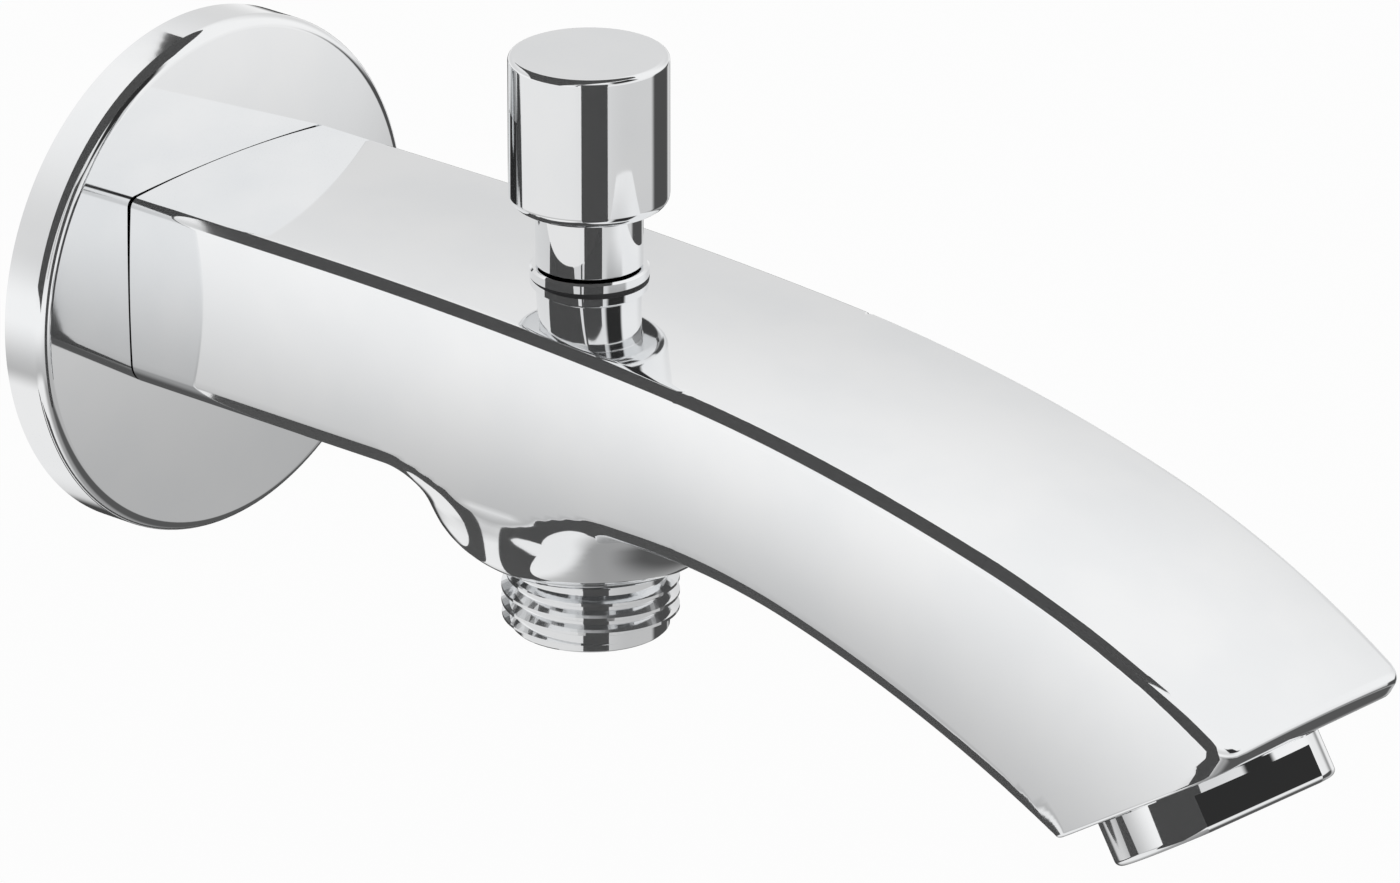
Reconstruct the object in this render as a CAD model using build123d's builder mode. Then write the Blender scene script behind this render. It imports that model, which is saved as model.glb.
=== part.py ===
from build123d import *
import math
import os

os.makedirs("parts", exist_ok=True)

# Wall-mounted bath spout with a lift-knob diverter and a threaded outlet for a hand shower.
# The origin is on the inlet axis in the wall plane, +X points out of the wall and +Z up.

# Wall flange, a pressed cup
flange_radius = 31.75
flange_depth = 6.9
flange_wall = 1.0
flange_edge_radius = 1.5
flange_bore_clearance = 0.15

# Threads, drawn plain at their outside radius
pipe_thread_radius = 10.478
aerator_thread_radius = 12.0
gland_thread_radius = 6.0
spindle_thread_radius = 2.5
thread_clearance = 0.03

# Arch of the body: the line of its upper edges is a straight run and three tangent arcs
top_z = 14.47
nose_reach = 172.87
first_arc_radius = 770.0
first_arc_angle = 4.0
second_arc_radius = 257.0
second_arc_angle = 11.3
nose_arc_radius = 131.0
nose_arc_angle = 16.4
crown_height = 1.0

# Underside of the body: a straight run past the valve pod and two arcs down to the heel
underside_z = -9.25
underside_bend_setback = 86.37
underside_bend_radius = 90.0
underside_bend_angle = 13.5
underside_arc_radius = 160.0

# Plan of the body
wall_width = 35.1
widest_width = 35.9
widest_x = 112.0
nose_width = 32.4

# Slanted outlet face at the nose
nose_lip = 2.4
outlet_slant = 31.7

# Edges of the body
top_edge_radius = 1.1
underside_edge_radius = 2.4
nose_corner_radius = 2.5

# Inlet spigot and waterways
spigot_reach = 14.0
spigot_chamfer = 1.2
spigot_seat_radius = 11.4
spigot_seat_length = 2.0
inlet_bore_radius = 7.0
inlet_bore_depth = 34.0
waterway_overlap = 6.0
waterway_width = 17.0
waterway_height = 8.4
waterway_cover = 1.7
body_wall = 2.6
front_wall = 3.4

# Valve pod and chamber
diverter_x = 64.0
pod_root_radius = 20.5
pod_flare_radius = 3.1
pod_waist_radius = 17.1
pod_waist_z = -16.5
pod_bottom_z = -20.9
pod_foot_radius = 11.4
chamber_radius = 9.3
chamber_step_z = -12.0
upper_seat_radius = 5.0
upper_seat_ledge = 1.2
upper_chamber_radius = 7.5
passage_width = 13.0
passage_margin = 0.2

# Hand-shower nipple
nipple_end_z = -29.0
nipple_chamfer = 0.9
nipple_shank_radius = 10.0
nipple_bore_radius = 5.8
nipple_key_flats = 12.6
nipple_key_depth = 5.0
nipple_neck_radius = 8.7
lower_seat_z = -9.0
lower_seat_radius = 7.2
lower_seat_height = 1.5
o_ring_clearance = 0.05

# Valve
lift_travel = 8.0
seat_clearance = 0.05
valve_radius = 8.0
valve_washer_thickness = 1.5
valve_disc_thickness = 2.0
valve_nut_flats = 8.0
valve_nut_height = 2.5
spindle_radius = 3.0
spindle_collar_radius = 4.4
spindle_collar_height = 1.0
spindle_end_spare = 0.7
running_clearance = 0.05

# Gland nut on top of the body
spot_face_depth = 0.45
spot_face_margin = 0.3
gland_washer_thickness = 0.5
gland_flange_radius = 7.0
gland_flange_height = 1.2
gland_thread_length = 4.2
gland_edge = 0.25
spindle_ring_section = 1.2
spindle_ring_count = 2
gland_land = 0.8
spring_pocket_radius = 4.6
spring_pocket_depth = 2.0

# Return spring
spring_radius = 3.85
spring_wire = 0.7
spring_turns = 5.5
spring_clearance = 0.05

# Lift knob
knob_radius = 9.4
knob_bottom_z = 23.7
knob_top_z = 42.07
knob_top_edge = 1.1
knob_bottom_edge = 1.4
neck_radius = 6.3
neck_gap = 0.25
knob_shank_depth = 2.0
knob_thread_depth = 15.0
knob_hole_spare = 1.0

# Aerator, on the axis of the outlet face
aerator_setback = 17.2
aerator_ring_radius = 13.5
aerator_ring_height = 5.5
aerator_reveal = 0.3
aerator_thread_length = 5.0
aerator_bore_radius = 10.0
aerator_lip = 0.7
aerator_lip_height = 1.0
aerator_foot_radius = 0.8
aerator_flats = 22.0
aerator_flat_turn = 20.0
aerator_band = 1.0
aerator_washer_thickness = 1.4
aerator_washer_bore_radius = 9.0
socket_boss_wall = 2.2
cup_clearance = 0.05
cup_wall = 1.0
cup_ledge = 0.6
cup_ledge_height = 2.6
grid_thickness = 1.2
grid_hole_radius = 1.0
grid_pitch = 2.7
screen_thickness = 0.3
screen_gap = 0.05
screen_count = 2
screen_hole = 1.3
screen_pitch = 2.0
screen_rim = 1.3
diffuser_plate = 1.2
diffuser_height = 4.4
diffuser_wall = 1.0
diffuser_hole_radius = 0.6
diffuser_hole_count = 16
diffuser_hole_circle = 6.2

# Places that follow from the sizes above
first_turn = math.radians(first_arc_angle)
second_turn = first_turn + math.radians(second_arc_angle)
nose_turn = second_turn + math.radians(nose_arc_angle)
first_run = first_arc_radius * math.sin(first_turn)
second_run = second_arc_radius * (math.sin(second_turn) - math.sin(first_turn))
nose_run = nose_arc_radius * (math.sin(nose_turn) - math.sin(second_turn))
straight_end_x = nose_reach - first_run - second_run - nose_run
underside_bend_x = nose_reach - underside_bend_setback
lean = max(0.0, diverter_x - straight_end_x)
crest_z = top_z + crown_height - first_arc_radius + math.sqrt(first_arc_radius**2 - lean**2)
gland_seat_z = crest_z - spot_face_depth
gland_flange_z = gland_seat_z + gland_washer_thickness
gland_top_z = gland_flange_z + gland_flange_height
gland_end_z = gland_seat_z - gland_thread_length
neck_bottom_z = gland_top_z + neck_gap
lower_washer_z = lower_seat_z + seat_clearance
valve_disc_z = lower_washer_z + valve_washer_thickness
upper_washer_z = valve_disc_z + valve_disc_thickness
spindle_collar_z = upper_washer_z + valve_washer_thickness
spindle_shank_z = spindle_collar_z + spindle_collar_height
upper_seat_z = spindle_collar_z + lift_travel + seat_clearance
upper_chamber_z = upper_seat_z + upper_seat_ledge
pod_lean = math.atan2(pod_root_radius - pod_waist_radius, underside_z - pod_waist_z)
pod_flare_run = pod_flare_radius * math.tan((math.pi / 2 - pod_lean) / 2)
chamber_front_x = diverter_x + chamber_radius + front_wall
knob_thread_z = neck_bottom_z + knob_shank_depth
spindle_top_z = knob_thread_z + knob_thread_depth
spindle_end_z = lower_washer_z - valve_nut_height - spindle_end_spare
waterway_x = inlet_bore_depth - spigot_reach - waterway_overlap
spring_top_z = gland_end_z + spring_pocket_depth
spring_start_z = spindle_shank_z + spring_wire / 2 + spring_clearance
spring_height = spring_top_z - spring_wire / 2 - spring_clearance - spring_start_z
groove_z = spring_top_z + gland_land
ring_pitch = spindle_ring_section + o_ring_clearance
groove_height = spindle_ring_count * ring_pitch + o_ring_clearance
groove_radius = spindle_radius + running_clearance + spindle_ring_section + o_ring_clearance
nipple_ring_section = nipple_shank_radius + thread_clearance - nipple_neck_radius - 2 * o_ring_clearance
nipple_shoulder_z = chamber_step_z - nipple_ring_section - 2 * o_ring_clearance
nipple_ring_z = (nipple_shoulder_z + chamber_step_z) / 2
shell_end = aerator_reveal + aerator_ring_height
cup_end = shell_end - aerator_lip_height
cup_radius = aerator_bore_radius - cup_clearance
cup_bore_radius = cup_radius - cup_wall
grid_end = cup_end - grid_thickness
ledge_end = grid_end - cup_ledge_height
diffuser_end = ledge_end - screen_count * (screen_thickness + screen_gap)
grid_columns = 2 * math.ceil(aerator_bore_radius / grid_pitch) + 1
screen_columns = 2 * math.ceil(aerator_bore_radius / screen_pitch) + 1
diverter_axis = Axis((diverter_x, 0, 0), (0, 0, 1))
diverter_plane = Plane((diverter_x, 0, 0))

# Line of the upper edges, from the wall flange to the nose
with BuildLine(Plane.XZ) as arch:
    straight = Line((flange_depth, top_z), (straight_end_x, top_z))
    first_arc = JernArc(straight @ 1, straight % 1, first_arc_radius, -first_arc_angle)
    second_arc = JernArc(first_arc @ 1, first_arc % 1, second_arc_radius, -second_arc_angle)
    JernArc(second_arc @ 1, second_arc % 1, nose_arc_radius, -nose_arc_angle)

arch_wire = arch.wires()[0]
nose_point = arch_wire @ 1
nose_forward = arch_wire % 1
nose_down = Vector(nose_forward.Z, 0, -nose_forward.X)
lip_point = nose_point + nose_down * nose_lip
slant = math.radians(outlet_slant)
to_heel = Vector(-math.cos(slant), 0, -math.sin(slant))
outlet_normal = Vector(math.sin(slant), 0, -math.cos(slant))
outlet_plane = Plane(lip_point + to_heel * aerator_setback, x_dir=(0, 1, 0), z_dir=outlet_normal)
aerator_axis = Axis(outlet_plane.origin, outlet_normal)
socket_depth = aerator_thread_length + aerator_washer_thickness

# Spare material that the outlines trim away
section_depth = top_z - nose_point.Z + flange_radius
plan_margin = 1.0
beyond = 2 * (nose_point.X + flange_radius)


# Closed profile across the body: a crowned top, inset by a wall, over plain sides
def crowned_section(inset, half_width, depth):
    crown_radius = ((widest_width / 2) ** 2 + crown_height**2) / (2 * crown_height) - inset
    top = top_z + crown_height - inset
    edge = top - crown_radius + math.sqrt(crown_radius**2 - half_width**2)
    bottom = top_z - depth
    ThreePointArc((-half_width, edge), (0, top), (half_width, edge))
    Polyline((half_width, edge), (half_width, bottom), (-half_width, bottom), (-half_width, edge))


# Outline seen from the side, open above the crown
def side_outline(inset, start_x):
    floor_z = underside_z + inset
    far_x = nose_point.X + nose_lip
    roof_z = top_z + 2 * crown_height
    run = Line((start_x, floor_z), (underside_bend_x, floor_z))
    bend = JernArc(run @ 1, run % 1, underside_bend_radius - inset, -underside_bend_angle)
    arc_radius = underside_arc_radius - inset
    arc_end = math.sin(math.radians(underside_bend_angle)) + (nose_point.X - (bend @ 1).X) / arc_radius
    arc_angle = math.degrees(math.asin(arc_end)) - underside_bend_angle
    drop = JernArc(bend @ 1, bend % 1, arc_radius, -arc_angle)
    Polyline(drop @ 1, (far_x, (drop @ 1).Y), (far_x, roof_z), (start_x, roof_z), (start_x, floor_z))


# Distance of an edge's middle outside the outlet face
def outlet_distance(edge):
    return (edge.center() - lip_point).dot(outlet_normal)


# Cylinders on a plane's normal, each from one height to another
def turned(plane, *levels, mode=Mode.ADD):
    for start, end, radius in levels:
        with Locations(plane.offset(start)):
            Cylinder(radius, end - start, align=(Align.CENTER, Align.CENTER, Align.MIN), mode=mode)


def save(builder, label):
    builder.part.label = label
    export_step(builder.part, f"parts/{label}.step")


# Core of the front waterway, from the valve chamber to the aerator socket
with BuildPart() as front_waterway:
    with BuildSketch(Plane.YZ.offset(flange_depth)):
        with BuildLine():
            crowned_section(body_wall, widest_width / 2 - body_wall, section_depth)
        make_face()
    sweep(path=arch_wire)
    with BuildSketch(Plane.XZ):
        with BuildLine():
            side_outline(body_wall, chamber_front_x)
        make_face()
    extrude(amount=widest_width, both=True, mode=Mode.INTERSECT)
    split(bisect_by=outlet_plane.offset(-socket_depth - body_wall), keep=Keep.BOTTOM)

# Cast body with its spigot, valve pod and aerator socket
with BuildPart() as spout_body:
    with BuildSketch(Plane.YZ.offset(flange_depth)):
        with BuildLine():
            crowned_section(0, widest_width / 2 + plan_margin, section_depth)
        make_face()
    sweep(path=arch_wire)
    with BuildSketch(Plane.XZ):
        with BuildLine():
            side_outline(0, flange_depth)
        make_face()
    extrude(amount=widest_width, both=True, mode=Mode.INTERSECT)

    # Pod under the body, with a flared root and a rounded foot
    with BuildSketch(Plane.XZ):
        with BuildLine():
            root_x = diverter_x + pod_root_radius
            flare_start = (root_x + pod_flare_run, underside_z)
            flare_end = (
                root_x - pod_flare_run * math.sin(pod_lean),
                underside_z - pod_flare_run * math.cos(pod_lean),
            )
            waist = (diverter_x + pod_waist_radius, pod_waist_z)
            foot_end = (diverter_x + pod_foot_radius, pod_bottom_z)
            root = Line((diverter_x, underside_z + underside_edge_radius), flare_start)
            RadiusArc(flare_start, flare_end, -pod_flare_radius)
            cone = Line(flare_end, waist)
            TangentArc(waist, foot_end, tangent=cone % 1)
            Polyline(foot_end, (diverter_x, pod_bottom_z), root @ 0)
        make_face()
    revolve(axis=diverter_axis)

    # Boss round the aerator socket, which shows only under the heel
    with BuildSketch(outlet_plane.offset(-socket_depth - body_wall)):
        Circle(aerator_thread_radius + socket_boss_wall)
    extrude(amount=socket_depth + body_wall)

    # Plan outline
    with BuildSketch(Plane.XY):
        with BuildLine():
            flank = Line((flange_depth, wall_width / 2), (widest_x, widest_width / 2))
            TangentArc(flank @ 1, (nose_point.X + nose_lip, nose_width / 2), tangent=flank % 1)
            Line((nose_point.X + nose_lip, nose_width / 2), (nose_point.X + nose_lip, 0))
            mirror(about=Plane.XZ)
            Line((flange_depth, wall_width / 2), (flange_depth, -wall_width / 2))
        make_face()
    extrude(amount=beyond, both=True, mode=Mode.INTERSECT)

    # Nose with round corners, cut off at the outlet face
    flank_y = nose_width / 3
    nose_face = faces().sort_by(lambda f: (f.normal_at() - nose_forward).length)[0]
    nose_sides = nose_face.edges().filter_by(lambda e: abs(e.center().Y) > flank_y)
    fillet(nose_sides, nose_corner_radius)
    split(bisect_by=outlet_plane, keep=Keep.BOTTOM)

    # Rounded upper rim, then the lower edges with the pod's sides
    crown_faces = faces().filter_by(lambda f: f.normal_at().Z > math.cos(slant))
    rim = crown_faces.edges().filter_by(lambda e: abs(e.center().Y) > flank_y or e.center().X > lip_point.X)
    fillet(rim, top_edge_radius)
    flank_edges = edges().filter_by(lambda e: abs(e.center().Y) > flank_y)
    low_edges = flank_edges.filter_by(lambda e: e.center().Z < underside_z + crown_height)
    behind_outlet = low_edges.filter_by(lambda e: e.center().X < outlet_plane.origin.X)
    fillet(behind_outlet.filter_by(lambda e: outlet_distance(e) < -nose_lip), underside_edge_radius)

    # Inlet spigot with a seat for the flange, its bore and the waterway to the valve chamber
    with BuildSketch(Plane.YZ.offset(-spigot_reach)):
        Circle(pipe_thread_radius)
    extrude(amount=spigot_reach + flange_depth)
    chamfer(edges().group_by(Axis.X)[0], spigot_chamfer)
    with BuildSketch(Plane.YZ.offset(flange_depth)):
        Circle(spigot_seat_radius)
    extrude(amount=-spigot_seat_length)
    with BuildSketch(Plane.YZ.offset(-spigot_reach)):
        Circle(inlet_bore_radius)
    extrude(amount=inlet_bore_depth, mode=Mode.SUBTRACT)
    with BuildSketch(Plane.YZ.offset(waterway_x)):
        with Locations((0, upper_seat_z - waterway_cover - waterway_height / 2)):
            SlotOverall(waterway_width, waterway_height)
    extrude(amount=diverter_x - waterway_x, mode=Mode.SUBTRACT)

    # Bores on the diverter axis, from the pod's mouth up to the spot face
    turned(
        diverter_plane,
        (pod_bottom_z, chamber_step_z, nipple_shank_radius + thread_clearance),
        (chamber_step_z, upper_seat_z, chamber_radius),
        (upper_seat_z, upper_chamber_z, upper_seat_radius),
        (upper_chamber_z, gland_end_z, upper_chamber_radius),
        (gland_end_z, gland_seat_z, gland_thread_radius + thread_clearance),
        (gland_seat_z, crest_z + crown_height, gland_flange_radius + spot_face_margin),
        mode=Mode.SUBTRACT,
    )

    # Way from the upper chamber to the aerator socket
    with BuildSketch(Plane.YZ.offset(diverter_x)):
        with Locations((0, (upper_chamber_z + gland_end_z) / 2)):
            SlotOverall(passage_width, gland_end_z - upper_chamber_z - 2 * passage_margin)
    extrude(amount=chamber_front_x + body_wall - diverter_x, mode=Mode.SUBTRACT)
    add(front_waterway.part, mode=Mode.SUBTRACT)
    turned(
        outlet_plane,
        (-socket_depth, socket_depth, aerator_thread_radius + thread_clearance),
        (-socket_depth - 2 * body_wall, -socket_depth, aerator_bore_radius),
        mode=Mode.SUBTRACT,
    )
save(spout_body, "spout_body")

# Pressed cover plate round the spigot
with BuildPart() as wall_flange:
    with BuildSketch(Plane.YZ):
        Circle(flange_radius)
    extrude(amount=flange_depth)
    fillet(edges().group_by(Axis.X)[-1], flange_edge_radius)
    offset(amount=-flange_wall, openings=faces().sort_by(Axis.X)[0])
    with BuildSketch(Plane.YZ):
        Circle(spigot_seat_radius + flange_bore_clearance)
    extrude(amount=flange_depth, mode=Mode.SUBTRACT)
save(wall_flange, "wall_flange")

# Lift knob and neck, screwed on the spindle
with BuildPart() as diverter_knob:
    turned(
        diverter_plane,
        (neck_bottom_z, knob_bottom_z, neck_radius),
        (knob_bottom_z, knob_top_z, knob_radius),
    )
    fillet(edges().group_by(Axis.Z)[-1], knob_top_edge)
    rims = edges().filter_by(lambda e: abs(e.center().Z - knob_bottom_z) < running_clearance)
    fillet(rims.sort_by(SortBy.LENGTH)[-1], knob_bottom_edge)
    turned(
        diverter_plane,
        (neck_bottom_z, knob_thread_z, spindle_radius + thread_clearance),
        (knob_thread_z, spindle_top_z + knob_hole_spare, spindle_thread_radius + thread_clearance),
        mode=Mode.SUBTRACT,
    )
save(diverter_knob, "diverter_knob")

# Spindle with the collar that clamps the valve and carries the spring
with BuildPart() as diverter_spindle:
    turned(
        diverter_plane,
        (spindle_end_z, spindle_collar_z, spindle_thread_radius),
        (spindle_collar_z, spindle_shank_z, spindle_collar_radius),
        (spindle_shank_z, knob_thread_z, spindle_radius),
        (knob_thread_z, spindle_top_z, spindle_thread_radius),
    )
save(diverter_spindle, "diverter_spindle")

# Flat rings on the spindle
flat_rings = (
    ("lower_valve_washer", lower_washer_z, valve_washer_thickness, valve_radius, spindle_thread_radius),
    ("valve_disc", valve_disc_z, valve_disc_thickness, valve_radius, spindle_thread_radius),
    ("upper_valve_washer", upper_washer_z, valve_washer_thickness, valve_radius, spindle_thread_radius),
    ("gland_washer", gland_seat_z, gland_washer_thickness, gland_flange_radius, gland_thread_radius),
)
for ring_label, ring_z, ring_height, outer_radius, inner_radius in flat_rings:
    with BuildPart() as flat_ring:
        turned(diverter_plane, (ring_z, ring_z + ring_height, outer_radius))
        turned(
            diverter_plane,
            (ring_z, ring_z + ring_height, inner_radius + thread_clearance),
            mode=Mode.SUBTRACT,
        )
    save(flat_ring, ring_label)

# Hexagon nut under the valve
with BuildPart() as valve_nut:
    with BuildSketch(Plane.XY.offset(lower_washer_z)):
        with Locations((diverter_x, 0)):
            RegularPolygon(valve_nut_flats / 2, 6, major_radius=False)
            Circle(spindle_thread_radius + thread_clearance, mode=Mode.SUBTRACT)
    extrude(amount=-valve_nut_height)
save(valve_nut, "valve_nut")

# Gland nut: flange on the body, spring pocket below and a groove for the spindle's seals
with BuildPart() as gland_nut:
    turned(
        diverter_plane,
        (gland_end_z, gland_flange_z, gland_thread_radius),
        (gland_flange_z, gland_top_z, gland_flange_radius),
    )
    chamfer(edges().group_by(Axis.Z)[-1], gland_edge)
    turned(
        diverter_plane,
        (gland_end_z, gland_top_z, spindle_radius + running_clearance),
        (gland_end_z, spring_top_z, spring_pocket_radius),
        (groove_z, groove_z + groove_height, groove_radius),
        mode=Mode.SUBTRACT,
    )
save(gland_nut, "gland_nut")

# Seals in the gland nut's groove
with BuildPart() as spindle_o_rings:
    for ring_index in range(spindle_ring_count):
        ring_centre_z = groove_z + o_ring_clearance + (ring_index + 0.5) * ring_pitch
        with Locations((diverter_x, 0, ring_centre_z)):
            Torus(spindle_radius + running_clearance + spindle_ring_section / 2, spindle_ring_section / 2)
save(spindle_o_rings, "spindle_o_rings")

# Return spring between the spindle's collar and the gland nut's pocket
with BuildPart() as return_spring:
    with BuildLine() as coil:
        spring_start = (diverter_x, 0, spring_start_z)
        Helix(spring_height / spring_turns, spring_height, spring_radius, center=spring_start)
    with BuildSketch(Plane(coil.line @ 0, z_dir=coil.line % 0)):
        Circle(spring_wire / 2)
    sweep(path=coil.line, is_frenet=True)
save(return_spring, "return_spring")

# Threaded nipple with the lower valve seat and a hexagon key socket
with BuildPart() as outlet_nipple:
    turned(
        diverter_plane,
        (nipple_end_z, pod_bottom_z, pipe_thread_radius),
        (pod_bottom_z, nipple_shoulder_z, nipple_shank_radius),
        (nipple_shoulder_z, lower_seat_z - lower_seat_height, nipple_neck_radius),
        (lower_seat_z - lower_seat_height, lower_seat_z, lower_seat_radius),
    )
    chamfer(edges().group_by(Axis.Z)[0], nipple_chamfer)
    turned(diverter_plane, (nipple_end_z, lower_seat_z, nipple_bore_radius), mode=Mode.SUBTRACT)
    with BuildSketch(Plane.XY.offset(nipple_end_z)):
        with Locations((diverter_x, 0)):
            RegularPolygon(nipple_key_flats / 2, 6, major_radius=False)
    extrude(amount=nipple_key_depth, mode=Mode.SUBTRACT)
save(outlet_nipple, "outlet_nipple")

with BuildPart() as nipple_o_ring:
    with Locations((diverter_x, 0, nipple_ring_z)):
        Torus(nipple_neck_radius + o_ring_clearance + nipple_ring_section / 2, nipple_ring_section / 2)
save(nipple_o_ring, "nipple_o_ring")

# Aerator shell: thread, ring with two spanner flats below a round band, lip that holds the insert
with BuildPart() as aerator_shell:
    turned(
        outlet_plane,
        (-aerator_thread_length, aerator_reveal, aerator_thread_radius),
        (aerator_reveal, shell_end, aerator_ring_radius),
    )
    fillet(edges().sort_by(aerator_axis)[-1], aerator_foot_radius)
    with BuildSketch(outlet_plane.offset(aerator_reveal + aerator_band)):
        Circle(2 * aerator_ring_radius)
        Rectangle(4 * aerator_ring_radius, aerator_flats, rotation=aerator_flat_turn, mode=Mode.SUBTRACT)
    extrude(amount=aerator_ring_height, mode=Mode.SUBTRACT)
    turned(
        outlet_plane,
        (-aerator_thread_length, cup_end, aerator_bore_radius),
        (cup_end, shell_end, aerator_bore_radius - aerator_lip),
        mode=Mode.SUBTRACT,
    )
save(aerator_shell, "aerator_shell")

with BuildPart() as aerator_washer:
    turned(outlet_plane, (-socket_depth, -aerator_thread_length, aerator_thread_radius))
    turned(
        outlet_plane,
        (-socket_depth, -aerator_thread_length, aerator_washer_bore_radius),
        mode=Mode.SUBTRACT,
    )
save(aerator_washer, "aerator_washer")

# Insert cup with a honeycomb outlet grid
with BuildPart() as aerator_cup:
    turned(outlet_plane, (-aerator_thread_length, cup_end, cup_radius))
    turned(
        outlet_plane,
        (-aerator_thread_length, ledge_end, cup_bore_radius),
        (ledge_end, grid_end, cup_bore_radius - cup_ledge),
        mode=Mode.SUBTRACT,
    )
    with BuildSketch(outlet_plane.offset(grid_end)):
        with HexLocations(grid_pitch / 2, grid_columns, grid_columns, major_radius=False):
            RegularPolygon(grid_hole_radius, 6, rotation=30)
        Circle(cup_bore_radius - cup_ledge, mode=Mode.INTERSECT)
    extrude(amount=grid_thickness, mode=Mode.SUBTRACT)
save(aerator_cup, "aerator_cup")

# Two wire screens on the cup's ledge
with BuildPart() as aerator_screens:
    for screen_index in range(screen_count):
        with BuildSketch(outlet_plane.offset(ledge_end - screen_index * (screen_thickness + screen_gap))):
            Circle(cup_bore_radius - cup_clearance)
            with BuildSketch(mode=Mode.SUBTRACT):
                with GridLocations(screen_pitch, screen_pitch, screen_columns, screen_columns):
                    Rectangle(screen_hole, screen_hole)
                Circle(cup_bore_radius - screen_rim, mode=Mode.INTERSECT)
        extrude(amount=-screen_thickness)
save(aerator_screens, "aerator_screens")

# Flow plate with a ring of jets, its skirt stands on the screens
with BuildPart() as aerator_diffuser:
    turned(outlet_plane, (diffuser_end - diffuser_height, diffuser_end, cup_bore_radius - cup_clearance))
    turned(
        outlet_plane,
        (diffuser_end - diffuser_height + diffuser_plate, diffuser_end, cup_bore_radius - diffuser_wall),
        mode=Mode.SUBTRACT,
    )
    with BuildSketch(outlet_plane.offset(diffuser_end - diffuser_height)):
        with PolarLocations(diffuser_hole_circle, diffuser_hole_count):
            Circle(diffuser_hole_radius)
    extrude(amount=diffuser_plate, mode=Mode.SUBTRACT)
save(aerator_diffuser, "aerator_diffuser")
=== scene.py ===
import math

import bpy
import numpy as np
from mathutils import Matrix, Vector


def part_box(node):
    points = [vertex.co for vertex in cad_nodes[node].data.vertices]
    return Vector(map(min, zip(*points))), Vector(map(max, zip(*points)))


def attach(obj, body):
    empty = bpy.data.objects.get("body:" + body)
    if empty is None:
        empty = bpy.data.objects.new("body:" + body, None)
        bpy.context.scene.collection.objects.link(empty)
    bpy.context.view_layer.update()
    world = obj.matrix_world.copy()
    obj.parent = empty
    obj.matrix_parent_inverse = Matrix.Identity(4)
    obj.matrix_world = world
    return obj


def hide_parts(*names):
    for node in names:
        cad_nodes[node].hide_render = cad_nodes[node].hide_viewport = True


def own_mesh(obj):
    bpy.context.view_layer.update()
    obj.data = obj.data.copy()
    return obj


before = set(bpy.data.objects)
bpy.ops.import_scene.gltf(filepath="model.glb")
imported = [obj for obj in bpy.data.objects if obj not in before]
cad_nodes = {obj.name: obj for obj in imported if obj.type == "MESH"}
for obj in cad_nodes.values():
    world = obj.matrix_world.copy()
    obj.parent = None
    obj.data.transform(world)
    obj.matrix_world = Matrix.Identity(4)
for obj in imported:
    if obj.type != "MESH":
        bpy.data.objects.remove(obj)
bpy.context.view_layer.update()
scene = bpy.context.scene
scene.view_settings.view_transform = "Standard"

# Sizes in millimetres, in the shared frame: wall plane at X 0, inlet on the X axis, Z up
MM = 0.001

# Camera at the photograph's viewing angle
CAMERA_AZIMUTH = math.radians(41.18)
CAMERA_ELEVATION = math.radians(21.9)
CAMERA_DISTANCE = 1500
CAMERA_TARGET = Vector((81.05, 0, -1.62))
CAMERA_CLIP = 20000
FRAME_WIDTH = 1400
PIXELS_PER_MM = 8.6376
SENSOR_WIDTH = 36.0

# Arch of the body's upper edges: a straight run, then arcs of a radius and an angle in degrees
ARCH_TOP = 14.47
ARCH_START = 35.0
ARCH_ARCS = ((770.0, 4.0), (257.0, 11.3), (131.0, 16.4))
ARCH_CROWN = 1.0

# Underside of the body
UNDER_LEVEL = -9.25
UNDER_START = 86.5
UNDER_BEND = 90.0
UNDER_BEND_ANGLE = math.radians(13.5)
UNDER_SWEEP = 160.0

# Plan of the body
WALL_X = 6.9
WALL_HALF = 17.55
WIDEST_X = 112.0
WIDEST_HALF = 17.95
NOSE_PLAN_X = 175.27
NOSE_HALF = 16.2
CHEEK_CROWN = 0.45

# Edges of the body
TOP_EDGE = 1.1
LOWER_EDGE = 3.0
NOSE_CORNER = 2.5
NOSE_LIP = 2.4
OUTLET_EDGE = 0.35

# Valve pod under the body, a bell with a rounded foot
VALVE_X = 64.0
POD_ROOT = 20.5
POD_WAIST = (17.1, -16.5)
POD_FLARE = 3.1
POD_FOOT_CURVE = 7.0
POD_FOOT_LEVEL = -21.0
POD_BOTTOM = -20.9
POD_FOOT_EDGE = 0.3

# Outlet face, with its slant in degrees, and the aerator on it
OUTLET_ANGLE = 31.7
AERATOR_SETBACK = 17.2
BOSS_RADIUS = 14.2
BOSS_BLEND = 2.0
SOCKET_RADIUS = 12.03
SOCKET_DEPTH = 6.4
AERATOR_THREAD = 12.0
AERATOR_THREAD_LENGTH = 5.0
RING_RADIUS = 13.5
RING_TOP = 0.3
RING_END = 5.8
RING_FOOT = 0.8
RING_HALF_FLATS = 11.0
RING_TURN = math.radians(20.0)
RING_BAND = 1.0
RING_BORE = 10.0
RING_LIP = 9.3
RING_LIP_START = 4.8

# Inlet spigot
SEAT_RADIUS = 11.4
SEAT_START = 4.9
SPIGOT_END = -14.0
INLET_BORE = 7.0
INLET_BORE_END = 20.0

# Pipe thread of the spigot and the nipple; its ends fade over a part of a turn to a share of the ridge
THREAD_CREST = 10.478
THREAD_ROOT = 9.316
THREAD_PITCH = 1.814
THREAD_BASE = 1.55
THREAD_TIP = 0.36
THREAD_SINK = 0.12
THREAD_FADE = 0.45
THREAD_END_SHARE = 0.02

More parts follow.
